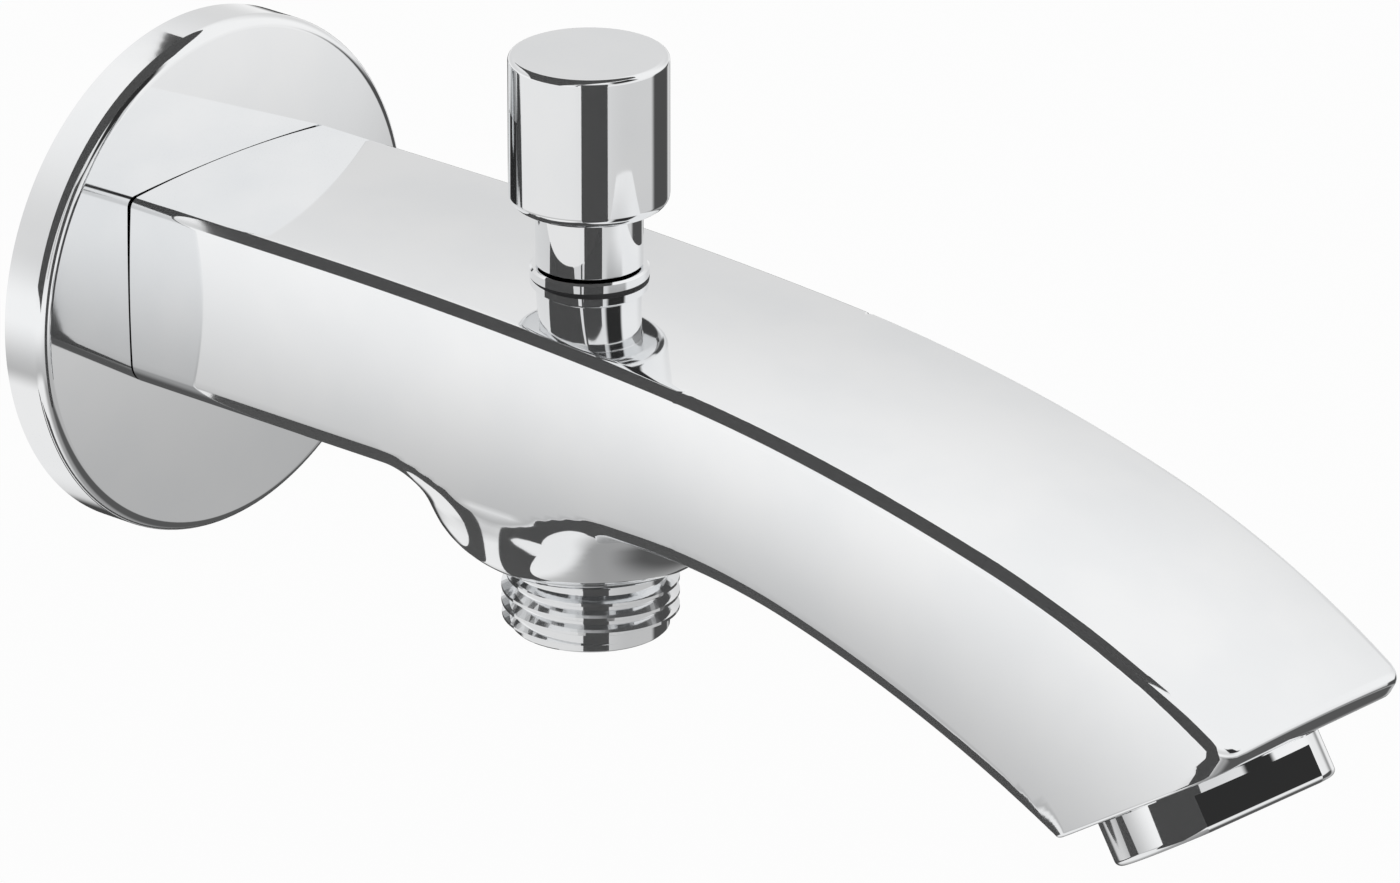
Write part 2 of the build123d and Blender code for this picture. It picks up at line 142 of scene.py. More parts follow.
# Hand-shower nipple
NIPPLE_END = -29.0
NIPPLE_EDGE = 0.2
NIPPLE_SHANK = 10.0
NIPPLE_SHOULDER = -13.33
NIPPLE_NECK = 8.7
SEAT_RIM_RADIUS = 7.2
SEAT_RIM_START = -10.5
SEAT_RIM_TOP = -9.0
NIPPLE_BORE = 5.8
KEY_FLATS = 12.6
KEY_DEPTH = 5.0
KEY_SIDE = math.pi / 3

# Wall flange
FLANGE_RADIUS = 31.75
FLANGE_DEPTH = 6.9
FLANGE_WALL = 1.0
FLANGE_EDGE = 1.5
FLANGE_BORE = 11.55
FLANGE_DOME = math.radians(3.0)

# Lift knob on its neck
KNOB_RADIUS = 9.4
KNOB_BOTTOM = 23.7
KNOB_TOP = 42.07
KNOB_TOP_EDGE = 0.7
KNOB_BOTTOM_EDGE = 1.4
NECK_RADIUS = 6.3
NECK_BOTTOM = 16.424
NECK_BOTTOM_EDGE = 0.15
NECK_ROOT_EDGE = 0.12
STEM_HOLE = 3.03
STEM_THREAD_HOLE = 2.53
STEM_HOLE_STEP = 18.424
STEM_HOLE_END = 34.424

# Return spring round the spindle
SPRING_RADIUS = 3.85
SPRING_WIRE = 0.7
SPRING_TURNS = 5.5

# Upright sections of the body: spacing along the wall end and the pod, and where the fan of planes takes over
SECTION_STEP = 2.5
POD_STEP = 0.42
POD_TO_FAN_SECTIONS = 5
SECTION_MIDDLE = 2.6
FAN_X = 92.0

# Fan of planes, in degrees: even steps to just before the outlet face, then closer ones over the nose's lip
FAN_START = 90
FAN_REST = 3
FAN_SECTIONS = 76
LIP_SECTIONS = (
    2.4, 1.9, 1.5, 1.2, 1.0, 0.88, 0.8, 0.74, 0.68, 0.62, 0.56, 0.46, 0.34, 0.24, 0.18, 0.12, 0.07, 0.03, 0,
)
FAN_REACH = (20, 110)
FAN_SAMPLES = 1801

# Points round one section: at each corner, a little past its ends, and along the top, sides and underside
CORNER_POINTS = 12
CORNER_SPARE_ANGLE = 20
CORNER_SPARE = 1.5
SECTION_GAPS = (22, 14, 56, 14)

# Sight lines that find the body's skin
SIGHT_START = 0.5
SIGHT_REACH = 48.0
SIGHT_STEPS = 120
SIGHT_HALVINGS = 32
SKIN = 1e-7
NORMAL_STEP = 0.01

# Fineness of the turned pieces and the spirals
EDGE_STEPS = 9
FLANGE_RINGS = 9
FLANGE_SEGMENTS = 160
KNOB_SEGMENTS = 128
NIPPLE_SEGMENTS = 96
RING_FLAT_STEPS = 14
RING_ROUND_STEPS = 28
RING_FOOT_STEPS = 7
SPIRAL_STEPS = 72
WIRE_STEPS = 12

# Least sizes that count as more than nothing
TINY = 1e-6
LEAST_DIVISOR = 1e-3

# Colours of the finishes
CHROME_TINT = (0.90, 0.905, 0.91, 1)
CHROME_SHADE = (0.865, 0.875, 0.885, 1)
BRASS_TINT = (0.72, 0.52, 0.24, 1)
BRASS_SHADE = (0.58, 0.40, 0.17, 1)
RUBBER_TINT = (0.022, 0.022, 0.024, 1)
RUBBER_SHADE = (0.040, 0.040, 0.042, 1)
STEEL_TINT = (0.62, 0.62, 0.61, 1)
STEEL_SHADE = (0.50, 0.50, 0.50, 1)
ACETAL_TINT = (0.74, 0.75, 0.75, 1)
ACETAL_SHADE = (0.66, 0.67, 0.68, 1)
DRIFT_RANGE = (0.3, 0.7)
WHITE = (1, 1, 1, 1)

# Studio light: levels from low to high, with the heights or bearings in degrees between which they change
CEILING_LEVELS = (0.75, 0.98)
CEILING_HEIGHTS = (15, 50)
RIGHT_WALL = (55, 135, 15)
RIGHT_WALL_LEVEL = 0.98
LEFT_LOW_LEVELS = (0.50, 1.0)
LEFT_LOW_HEIGHTS = (-33, -14)
RIGHT_LOW_LEVELS = (0.48, 0.92)
RIGHT_LOW_HEIGHTS = (-26, -14)
LOW_BEARINGS = (-30, 60)
HORIZON_HEIGHTS = (-9, 9)

# Ground of the studio: levels from left to right, the sideways parts of a direction between which they change
GROUND_LEVELS = (0.9, 0.35, 0.10)
GROUND_MIDDLE = (-0.4, 0.05)
GROUND_RIGHT = (0.1, 0.4)
GROUND_HEIGHTS = (-31, -37)

# Dark panels: bearings from the back or the front and heights, each with its softness, and the level
REAR_PANELS = (
    ((-62, 10, 5), (-30, -10, 4), 0.06),
    ((-34, 8, 5), (-38, -24, 4), 0.06),
)
FRONT_PANELS = (
    ((104, 150, 5), (-30, -6, 4), 0.08),
    ((36, 74, 4), (16, 50, 4), 0.03),
)

# Dark screens: runs along X of the edges that mirror them, and tilts in degrees of the rounded edge there
SCREEN_SHADE = 0.10
SCREEN_DISTANCE = 250
SCREEN_ROWS = 31
SCREEN_COLUMNS = 25
UPPER_RUN = (17, 176)
UPPER_TILTS = (12, 80)
WALL_RUN = (7, 19)
WALL_TILTS = (14, 72)
LOWER_ROOT_RUN = (18, 50)
LOWER_NOSE_RUN = (74, 150)
LOWER_TILTS = (-56, -8)
CARD_DISTANCE = 120
CARD_SIDES = (-21, 59)
CARD_HEIGHTS = (95, -130)

# Floor
FLOOR_LEVEL = -120
FLOOR_REACH = 3000
FLOOR_SHADE = 0.9
FLOOR_GLOW = 0.9


# Node maths

class Wire:
    """A socket of a node tree; expressions on wires add Math nodes."""

    def __init__(self, tree, socket=None):
        self.tree, self.socket = tree, socket

    def node(self, kind, settings=None, sockets=None, out=0):
        made = self.tree.nodes.new(kind)
        for name, value in (settings or {}).items():
            setattr(made, name, value)
        for key, value in (sockets or {}).items():
            if isinstance(value, Wire):
                self.tree.links.new(value.socket, made.inputs[key])
            else:
                made.inputs[key].default_value = value
        return Wire(self.tree, made.outputs[out] if len(made.outputs) else None)

    def maths(self, operation, *values):
        return self.node("ShaderNodeMath", {"operation": operation}, dict(enumerate(values)))

    def __add__(self, other):
        return self.maths("ADD", self, other)

    __radd__ = __add__

    def __sub__(self, other):
        return self.maths("SUBTRACT", self, other)

    def __rsub__(self, other):
        return self.maths("SUBTRACT", other, self)

    def __mul__(self, other):
        return self.maths("MULTIPLY", self, other)

    __rmul__ = __mul__

    def ease(self, start, end):
        settings = {"interpolation_type": "SMOOTHSTEP"}
        sockets = {"Value": self, "From Min": start, "From Max": end}
        return self.node("ShaderNodeMapRange", settings, sockets)

    def within(self, low, high, soft):
        return self.ease(low - soft, low + soft) * (1 - self.ease(high - soft, high + soft))

    def level(self, first, second):
        """The first number where the wire is 0, the second where it is 1."""
        return first + self * (second - first)

    def colour(self, first, second):
        """The first colour where the wire is 0, the second where it is 1."""
        sockets = {"Factor": self, 6: first, 7: second}
        return self.node("ShaderNodeMix", {"data_type": "RGBA"}, sockets, out=2)

    def dot(self, way):
        return self.node("ShaderNodeVectorMath", {"operation": "DOT_PRODUCT"}, {0: self, 1: way}, out="Value")


# Finishes

def finish(name, tint, shade, metallic, roughness, grain, ripple, ripple_depth):
    """A finish whose colour and polish drift a little over the piece."""
    material = bpy.data.materials.new(name)
    material.use_nodes = True
    tree = material.node_tree
    shader = tree.nodes["Principled BSDF"]
    place = Wire(tree).node("ShaderNodeTexCoord", out="Object")
    drift = place.node("ShaderNodeTexNoise", None, {"Vector": place, "Scale": grain, "Detail": 3.0})
    drift = drift.ease(*DRIFT_RANGE)
    fine = place.node("ShaderNodeTexNoise", None, {"Vector": place, "Scale": ripple, "Detail": 2.0})
    bump = place.node("ShaderNodeBump", None, {
        "Strength": 1.0, "Distance": ripple_depth * MM, "Height": fine,
    })
    tree.links.new(drift.colour(tint, shade).socket, shader.inputs["Base Color"])
    tree.links.new(drift.level(*roughness).socket, shader.inputs["Roughness"])
    tree.links.new(bump.socket, shader.inputs["Normal"])
    shader.inputs["Metallic"].default_value = metallic
    return material


chrome = finish(
    "polished_chrome", CHROME_TINT, CHROME_SHADE,
    metallic=1.0, roughness=(0.025, 0.05), grain=60, ripple=45, ripple_depth=0.004,
)
chrome_thread = finish(
    "plated_thread", CHROME_TINT, CHROME_SHADE,
    metallic=1.0, roughness=(0.06, 0.11), grain=150, ripple=300, ripple_depth=0.01,
)
brass = finish(
    "turned_brass", BRASS_TINT, BRASS_SHADE,
    metallic=1.0, roughness=(0.22, 0.34), grain=180, ripple=700, ripple_depth=0.01,
)
rubber = finish(
    "seal_rubber", RUBBER_TINT, RUBBER_SHADE,
    metallic=0.0, roughness=(0.55, 0.75), grain=220, ripple=900, ripple_depth=0.015,
)
steel = finish(
    "spring_steel", STEEL_TINT, STEEL_SHADE,
    metallic=1.0, roughness=(0.16, 0.28), grain=300, ripple=900, ripple_depth=0.006,
)
acetal = finish(
    "moulded_acetal", ACETAL_TINT, ACETAL_SHADE,
    metallic=0.0, roughness=(0.34, 0.46), grain=200, ripple=800, ripple_depth=0.008,
)


# Shells: closed meshes with the normal of every corner given

class Shell:
    """Gathers the faces of one closed piece, turned to agree with their corner normals."""

    def __init__(self):
        self.points, self.faces, self.normals = [], [], []

    def ring(self, points):
        start = len(self.points)
        self.points.extend(np.asarray(points, dtype=float))
        return list(range(start, len(self.points)))

    def agree(self, corners, normals):
        """How far a face's own direction agrees with its corner normals."""
        a, b, c = (self.points[corners[i]] for i in (0, 1, 2))
        d = self.points[corners[-1]]
        return np.dot(np.cross(c - a, d - b), sum(normals))

    def add(self, corners, normals, turned):
        if turned:
            corners, normals = corners[::-1], normals[::-1]
        kept = [i for i, corner in enumerate(corners) if corner not in corners[:i]]
        if len(kept) > 2:
            self.faces.append([corners[i] for i in kept])
            self.normals.extend([normals[i] for i in kept])

    def face(self, corners, normals):
        self.add(corners, normals, self.agree(corners, normals) < 0)

    def strip(self, ring_a, ring_b, normals_a, normals_b):
        """Faces between two rings, all wound the same way."""
        count = len(ring_a)
        faces = []
        for i in range(count):
            j = (i + 1) % count
            corners = [ring_a[i], ring_a[j], ring_b[j], ring_b[i]]
            faces.append((corners, [normals_a[i], normals_a[j], normals_b[j], normals_b[i]]))
        turned = sum(self.agree(*face) for face in faces) < 0
        for corners, normals in faces:
            self.add(corners, normals, turned)

    def flat_strip(self, ring_a, ring_b, normal):
        normals = [np.asarray(normal)] * len(ring_a)
        self.strip(ring_a, ring_b, normals, normals)

    def cap(self, ring, centre, normal):
        middle = self.ring([centre])[0]
        normal = np.asarray(normal)
        for i, corner in enumerate(ring):
            after = ring[(i + 1) % len(ring)]
            a, b = self.points[corner] - centre, self.points[after] - centre
            turned = np.dot(np.cross(a, b), normal) <= 0
            self.faces.append([after, corner, middle] if turned else [corner, after, middle])
            self.normals.extend([normal] * 3)

    def make(self, name, material):
        mesh = bpy.data.meshes.new(name)
        mesh.from_pydata([tuple(p * MM) for p in self.points], [], self.faces)
        mesh.shade_smooth()
        mesh.normals_split_custom_set([tuple(n) for n in self.normals])
        mesh.materials.append(material)
        return place_mesh(name, mesh)


def place_mesh(name, mesh):
    made = bpy.data.objects.new(name, mesh)
    scene.collection.objects.link(made)
    return made


def unit(way):
    return way / np.linalg.norm(way, axis=-1, keepdims=True)


def full_turn(segments):
    return np.linspace(0, 2 * math.pi, segments, endpoint=False)


class Axis:
    """A turning axis: points by radius, angle and height along it."""

    def __init__(self, origin, along, side):
        self.origin, self.along, self.side = (np.array(v, dtype=float) for v in (origin, along, side))
        self.across = np.cross(self.along, self.side)

    def out(self, angle):
        angle = np.asarray(angle)[..., None]
        return np.cos(angle) * self.side + np.sin(angle) * self.across

    def at(self, radius, angle, height):
        radius = np.asarray(radius)[..., None]
        return self.origin + radius * self.out(angle) + height * self.along

    def circle(self, radius, angles, height):
        return self.at(np.full(len(angles), radius), angles, height)


# Directions and places of the nose, the outlet face and the axes

OUTLET_SLANT = math.radians(OUTLET_ANGLE)
SLANT_COS, SLANT_SIN = math.cos(OUTLET_SLANT), math.sin(OUTLET_SLANT)
OUTLET_OUT = np.array((SLANT_SIN, 0, -SLANT_COS))
NOSE_OUT = np.array((SLANT_COS, 0, -SLANT_SIN))
NOSE_DOWN = np.array((-SLANT_SIN, 0, -SLANT_COS))
TO_HEEL = np.array((-SLANT_COS, 0, -SLANT_SIN))
NEAR_SIDE = np.array((0, -1, 0))
ACROSS = np.array((0, 1, 0))
UP = np.array((0, 0, 1))


def arch_frames():
    """Centres of the arch's arcs, and the nose point where the last one ends."""
    centres, turn = [], 0.0
    x, z = ARCH_START, ARCH_TOP
    for radius, angle in ARCH_ARCS:
        centre = (x - radius * math.sin(turn), z - radius * math.cos(turn))
        turn += math.radians(angle)
        x, z = centre[0] + radius * math.sin(turn), centre[1] + radius * math.cos(turn)
        centres.append((centre, radius, turn))
    return centres, np.array((x, 0, z))


ARCH_CENTRES, NOSE_POINT = arch_frames()
LIP_POINT = NOSE_POINT + NOSE_LIP * NOSE_DOWN
OUTLET_POINT = LIP_POINT + AERATOR_SETBACK * TO_HEEL

AERATOR_AXIS = Axis(OUTLET_POINT, OUTLET_OUT, -TO_HEEL)
INLET_AXIS = Axis((0, 0, 0), (1, 0, 0), (0, 1, 0))
VALVE_AXIS = Axis((VALVE_X, 0, 0), (0, 0, 1), (1, 0, 0))


# Body: a field of distances, positive outside, blended with round edges

def round_most(a, b, radius):
    """The greater of two distances, with a round edge where they meet."""
    rounded = np.hypot(np.maximum(a + radius, 0), np.maximum(b + radius, 0))
    return np.minimum(-radius, np.maximum(a, b)) + rounded


def round_least(a, b, radius):
    """The lesser of two distances, with a round hollow where they meet."""
    return -round_most(-a, -b, radius)


def arch_height(x, z):
    """Distance above the line of the body's upper edges."""
    height = z - ARCH_TOP
    turned_past = 0.0
    for (cx, cz), radius, turn in ARCH_CENTRES:
        swung = np.arctan2(x - cx, z - cz)
        height = np.where(swung > turned_past, np.hypot(x - cx, z - cz) - radius, height)
        turned_past = turn
    return height


def under_depth(x, z):
    """Distance below the line of the body's underside."""
    depth = UNDER_LEVEL - z
    cx, cz = UNDER_START, UNDER_LEVEL - UNDER_BEND
    swung = np.arctan2(x - cx, z - cz)
    depth = np.where(swung > 0, UNDER_BEND - np.hypot(x - cx, z - cz), depth)
    shift = UNDER_SWEEP - UNDER_BEND
    cx, cz = cx - shift * math.sin(UNDER_BEND_ANGLE), cz - shift * math.cos(UNDER_BEND_ANGLE)
    swung_on = np.arctan2(x - cx, z - cz)
    return np.where(swung_on > UNDER_BEND_ANGLE, UNDER_SWEEP - np.hypot(x - cx, z - cz), depth)


def top_line(x):
    """Height of the upper edges at a place along the body."""
    return float(ARCH_TOP - arch_height(np.array(x), np.array(ARCH_TOP)))


def under_line(x):
    """Height of the underside at a place along the body."""
    return float(UNDER_LEVEL + under_depth(np.array(x), np.array(UNDER_LEVEL)))


def half_width(x):
    slope = (WIDEST_HALF - WALL_HALF) / (WIDEST_X - WALL_X)
    run = NOSE_PLAN_X - WIDEST_X
    bend = (WIDEST_HALF + slope * run - NOSE_HALF) / run**2
    past = np.maximum(x - WIDEST_X, 0)
    return WALL_HALF + slope * (x - WALL_X) - bend * past**2


def pod_field(x, y, z):
    lean = math.atan2(POD_ROOT - POD_WAIST[0], UNDER_LEVEL - POD_WAIST[1])
    cone = (np.hypot(x - VALVE_X, y) - POD_ROOT) * math.cos(lean) - (z - UNDER_LEVEL) * math.sin(lean)
    pod = round_most(cone, POD_FOOT_LEVEL - z, POD_FOOT_CURVE)
    return round_most(pod, POD_BOTTOM - z, POD_FOOT_EDGE)


def boss_field(p):
    """Distance from the round boss behind the aerator."""
    from_outlet = p - OUTLET_POINT
    off_axis = from_outlet - (from_outlet @ OUTLET_OUT)[..., None] * OUTLET_OUT
    return np.linalg.norm(off_axis, axis=-1) - BOSS_RADIUS


def body_field(p):
    x, y, z = p[..., 0], p[..., 1], p[..., 2]
    top = arch_height(x, z) - ARCH_CROWN * (1 - (y / WIDEST_HALF) ** 2)
    under = under_depth(x, z)
    # Place between the underside, -1, and the top, 1
    rise = np.clip((under - top) / np.minimum(top + under, -LEAST_DIVISOR), -1, 1)
    side = np.abs(y) - half_width(x) + CHEEK_CROWN * rise**2
    nose = (p - NOSE_POINT) @ NOSE_OUT
    outlet = (p - LIP_POINT) @ OUTLET_OUT
    lower = round_least(round_least(under, pod_field(x, y, z), POD_FLARE), boss_field(p), BOSS_BLEND)
    edge = TOP_EDGE + (LOWER_EDGE - TOP_EDGE) * np.clip(0.5 - rise, 0, 1)
    wall = round_most(side, nose, NOSE_CORNER)
    return round_most(round_most(np.maximum(top, lower), wall, edge), outlet, OUTLET_EDGE)


def body_normals(points):
    steps = NORMAL_STEP * np.eye(3)
    return unit(np.stack([body_field(points + s) - body_field(points - s) for s in steps], axis=-1))


def first_crossing(origins, ways):
    """Distance along each way at which the body's skin is crossed, from inside."""
    stations = np.linspace(SIGHT_START, SIGHT_REACH, SIGHT_STEPS)
    values = body_field(origins[..., None, :] + stations[:, None] * ways[..., None, :])
    first = np.argmax(values > SKIN, axis=-1)
    near, far = stations[np.maximum(first - 1, 0)], stations[first]
    for _ in range(SIGHT_HALVINGS):
        middle = (near + far) / 2
        outside = body_field(origins + middle[..., None] * ways) > SKIN
        near, far = np.where(outside, near, middle), np.where(outside, middle, far)
    return (near + far) / 2


def corner_fan(across, up, radius):
    """Points round one corner of the section, and a little past its ends."""
    turns = np.linspace(-CORNER_SPARE_ANGLE, 90 + CORNER_SPARE_ANGLE, CORNER_POINTS)
    bend = np.radians(np.clip(turns, 0, 90))
    spare = (np.minimum(turns, 0) + np.maximum(turns - 90, 0)) / CORNER_SPARE_ANGLE
    y = abs(across) - radius + radius * np.cos(bend) - np.maximum(spare, 0) * CORNER_SPARE
    z = abs(up) - radius + radius * np.sin(bend) + np.minimum(spare, 0) * CORNER_SPARE
    return np.stack([np.sign(across) * y, np.sign(up) * z], axis=-1)


def section_ways(half, top, bottom):
    """Directions across one section, close together at its four corners."""
    corners = [
        corner_fan(half, top, TOP_EDGE),
        corner_fan(-half, top, TOP_EDGE)[::-1],
        corner_fan(-half, bottom, LOWER_EDGE),
        corner_fan(half, bottom, LOWER_EDGE)[::-1],
    ]
    angles = []
    for corner, following, gap in zip(corners, corners[1:] + corners[:1], SECTION_GAPS):
        here = np.arctan2(corner[:, 1], corner[:, 0])
        after = np.arctan2(following[0, 1], following[0, 0])
        span = (after - here[-1]) % (2 * math.pi)
        angles.extend(here)
        angles.extend(here[-1] + span * np.arange(1, gap) / gap)
    angles = np.array(angles)
    return np.stack([np.cos(angles), np.sin(angles)], axis=-1)


def section_ring(middle, up, half, top, bottom):
    """Points of the body's skin in one plane, seen from the section's middle."""
    ways = section_ways(half, top, bottom)
    ways = ways[:, :1] * ACROSS + ways[:, 1:] * up
    origins = np.tile(middle, (len(ways), 1))
    return origins + first_crossing(origins, ways)[:, None] * ways


def upright_stations():
    """Places of the upright sections, close together along the valve pod."""
    pod_start, pod_end = VALVE_X - POD_ROOT - POD_FLARE, VALVE_X + POD_ROOT + POD_FLARE
    return np.concatenate([
        np.arange(WALL_X, pod_start, SECTION_STEP),
        np.arange(pod_start, pod_end, POD_STEP),
        np.linspace(pod_end, FAN_X, POD_TO_FAN_SECTIONS),
    ])


def fan_angles():
    even = np.linspace(FAN_START, OUTLET_ANGLE + FAN_REST, FAN_SECTIONS)[1:]
    return np.radians(np.concatenate([even, OUTLET_ANGLE + np.array(LIP_SECTIONS)]))


def body_rings():
    """Sections of the body: upright ones, then a fan of planes that ends in the outlet face."""
    rings = []
    for x in upright_stations():
        top, bottom = top_line(x) - SECTION_MIDDLE, UNDER_LEVEL - SECTION_MIDDLE
        rings.append(section_ring((x, 0.0, SECTION_MIDDLE), UP, half_width(x), top, bottom))
    run = (LIP_POINT[0] - FAN_X) / SLANT_COS
    pivot = np.array((FAN_X, 0, LIP_POINT[2] - run * SLANT_SIN))
    reaches = np.linspace(*FAN_REACH, FAN_SAMPLES)
    for angle in fan_angles():
        along = np.array((math.cos(angle), 0, math.sin(angle)))
        inside = reaches[body_field(pivot + reaches[:, None] * along) < 0]
        middle = pivot + (inside[0] + inside[-1]) / 2 * along
        rise = (inside[-1] - inside[0]) / 2
        rings.append(section_ring(middle, along, half_width(middle[0]), rise, -rise))
    return rings


def circle_like(ring, axis, radius, height):
    """A circle with one point towards each point of a ring, and the ways out from its axis."""
    from_axis = np.asarray(ring) - axis.origin
    angles = np.arctan2(from_axis @ axis.across, from_axis @ axis.side)
    return axis.circle(radius, angles, height), axis.out(angles)


def add_socket(shell, rim, laid_rim):
    """Outlet face and the aerator's socket."""
    mouth, out = circle_like(rim, AERATOR_AXIS, SOCKET_RADIUS, 0)
    deep, _ = circle_like(rim, AERATOR_AXIS, SOCKET_RADIUS, -SOCKET_DEPTH)
    mouth_ring, deep_ring = shell.ring(mouth), shell.ring(deep)
    shell.flat_strip(laid_rim, mouth_ring, OUTLET_OUT)
    shell.strip(mouth_ring, deep_ring, -out, -out)
    shell.cap(deep_ring, OUTLET_POINT - SOCKET_DEPTH * OUTLET_OUT, OUTLET_OUT)


def add_spigot(shell, rim, laid_rim):
    """Rear face, seat, spigot core and inlet bore."""
    back = np.array((-1.0, 0, 0))
    seat, _ = circle_like(rim, INLET_AXIS, SEAT_RADIUS, WALL_X)
    before, last_x = shell.ring(seat), WALL_X
    # The seat stands out below the body's underside, and looks forward there
    reach = np.hypot(rim[:, 1], rim[:, 2])
    facing = np.where((reach < SEAT_RADIUS)[:, None], -back, back)
    shell.strip(laid_rim, before, facing, facing)
    for radius, x in (
        (SEAT_RADIUS, SEAT_START),
        (THREAD_ROOT, SEAT_START),
        (THREAD_ROOT, SPIGOT_END),
        (INLET_BORE, SPIGOT_END),
        (INLET_BORE, INLET_BORE_END),
    ):
        circle, out = circle_like(rim, INLET_AXIS, radius, x)
        placed = shell.ring(circle)
        if x == last_x:
            shell.flat_strip(before, placed, back)
        else:
            # Outer walls run back towards the wall, the bore runs forward and faces its axis
            facing = -out if x > last_x else out
            shell.strip(before, placed, facing, facing)
        before, last_x = placed, x
    shell.cap(before, np.array((INLET_BORE_END, 0, 0)), back)


def make_body():
    shell = Shell()
    rings = body_rings()
    normals = [body_normals(ring) for ring in rings]
    laid = [shell.ring(ring) for ring in rings]
    for i in range(len(rings) - 1):
        shell.strip(laid[i], laid[i + 1], normals[i], normals[i + 1])
    add_socket(shell, rings[-1], laid[-1])
    add_spigot(shell, rings[0], laid[0])
    return shell.make("spout_casting", chrome)


# Turned pieces

def edge_arc(here, way_in, way_out, right, radius):
    """Points of one rounded corner of a profile, each with its normal before and after."""
    turn = math.atan2(way_in[0] * way_out[1] - way_in[1] * way_out[0], float(way_in @ way_out))
    bend = radius * np.sign(turn)
    centre = here - radius * abs(math.tan(turn / 2)) * way_in - right * bend
    arc = []
    for k in range(EDGE_STEPS + 1):
        swing = turn * k / EDGE_STEPS
        normal = np.array((
            right[0] * math.cos(swing) - right[1] * math.sin(swing),
            right[0] * math.sin(swing) + right[1] * math.cos(swing),
        ))
        arc.append((centre + normal * bend, normal, normal))
    return arc


def rounded_profile(corners):
    """Points of a closed profile, each with the normals before and after it.

    A corner is (radius, height), then an edge radius and a lean where it has them. The profile runs
    anticlockwise in (radius, height), so the outside lies on its right. A corner with a lean is a point
    on a smooth curve.
    """
    spots = [np.array(corner[:2], dtype=float) for corner in corners]
    profile = []
    for i, (_, _, *more) in enumerate(corners):
        here, after = spots[i], spots[(i + 1) % len(spots)]
        way_in, way_out = unit(here - spots[i - 1]), unit(after - here)
        right_in, right_out = (np.array((way[1], -way[0])) for way in (way_in, way_out))
        if len(more) > 1:
            facing = np.array((math.sin(more[1]), math.cos(more[1])))
            profile.append((here, facing, facing))
        elif more:
            profile.extend(edge_arc(here, way_in, way_out, right_in, more[0]))
        else:
            profile.append((here, right_in, right_out))
    return profile


def turn_profile(shell, axis, corners, segments):
    """Turns a closed profile about an axis; a corner on the axis becomes a pole."""
    spots = rounded_profile(corners)
    angles = full_turn(segments)
    out = axis.out(angles)
    rings = []
    for (radius, height), _, _ in spots:
        if radius < TINY:
            rings.append(shell.ring([axis.origin + height * axis.along]) * segments)
        else:
            rings.append(shell.ring(axis.circle(radius, angles, height)))
    for i, (spot, _, leaving) in enumerate(spots):
        j = (i + 1) % len(spots)
        spot_after, arriving, _ = spots[j]
        if max(spot[0], spot_after[0]) < TINY:
            continue
        first = leaving[0] * out + leaving[1] * axis.along
        second = arriving[0] * out + arriving[1] * axis.along
        shell.strip(rings[i], rings[j], first, second)


def make_flange():
    """Pressed cup whose front is very slightly domed."""
    shell = Shell()
    inner = FLANGE_RADIUS - FLANGE_WALL
    dome = FLANGE_RADIUS / math.sin(FLANGE_DOME)
    rings = np.linspace(FLANGE_BORE, FLANGE_RADIUS, FLANGE_RINGS)
    sag = dome - np.sqrt(dome**2 - rings**2)
    sag = sag - sag[0]
    front = [(r, FLANGE_DEPTH - drop, 0, r / dome) for r, drop in zip(rings, sag)]
    rim = front[-1][1]
    profile = [
        (FLANGE_RADIUS, 0),
        (FLANGE_RADIUS, rim, FLANGE_EDGE),
        *front[-2::-1],
        (FLANGE_BORE, FLANGE_DEPTH - FLANGE_WALL),
        (inner, rim - FLANGE_WALL, FLANGE_EDGE - FLANGE_WALL),
        (inner, 0),
    ]
    turn_profile(shell, INLET_AXIS, profile, FLANGE_SEGMENTS)
    return shell.make("cover_flange", chrome)


def make_knob():
    """Knob and neck in one, with the stepped hole for the spindle."""
    shell = Shell()
    profile = [
        (NECK_RADIUS, NECK_BOTTOM, NECK_BOTTOM_EDGE),
        (NECK_RADIUS, KNOB_BOTTOM, NECK_ROOT_EDGE),
        (KNOB_RADIUS, KNOB_BOTTOM, KNOB_BOTTOM_EDGE),
        (KNOB_RADIUS, KNOB_TOP, KNOB_TOP_EDGE),
        (0, KNOB_TOP),
        (0, STEM_HOLE_END),
        (STEM_THREAD_HOLE, STEM_HOLE_END),
        (STEM_THREAD_HOLE, STEM_HOLE_STEP),
        (STEM_HOLE, STEM_HOLE_STEP),
        (STEM_HOLE, NECK_BOTTOM),
    ]
    turn_profile(shell, VALVE_AXIS, profile, KNOB_SEGMENTS)
    return shell.make("lift_knob", chrome)


def add_key_socket(shell, angles, bore_ring, end_ring):
    """Hexagon key socket in the nipple's end, with a flat facing on each side."""
    up = VALVE_AXIS.along
    radii = KEY_FLATS / 2 / np.cos((angles % KEY_SIDE) - KEY_SIDE / 2)
    deep = shell.ring(VALVE_AXIS.at(radii, angles, NIPPLE_END + KEY_DEPTH))
    mouth = shell.ring(VALVE_AXIS.at(radii, angles, NIPPLE_END))
    shell.flat_strip(bore_ring, deep, -up)
    for i, angle in enumerate(angles):
        j = (i + 1) % len(angles)
        facing = -VALVE_AXIS.out((math.floor(angle / KEY_SIDE + TINY) + 0.5) * KEY_SIDE)
        shell.face([deep[i], deep[j], mouth[j], mouth[i]], [facing] * 4)
    shell.flat_strip(mouth, end_ring, -up)


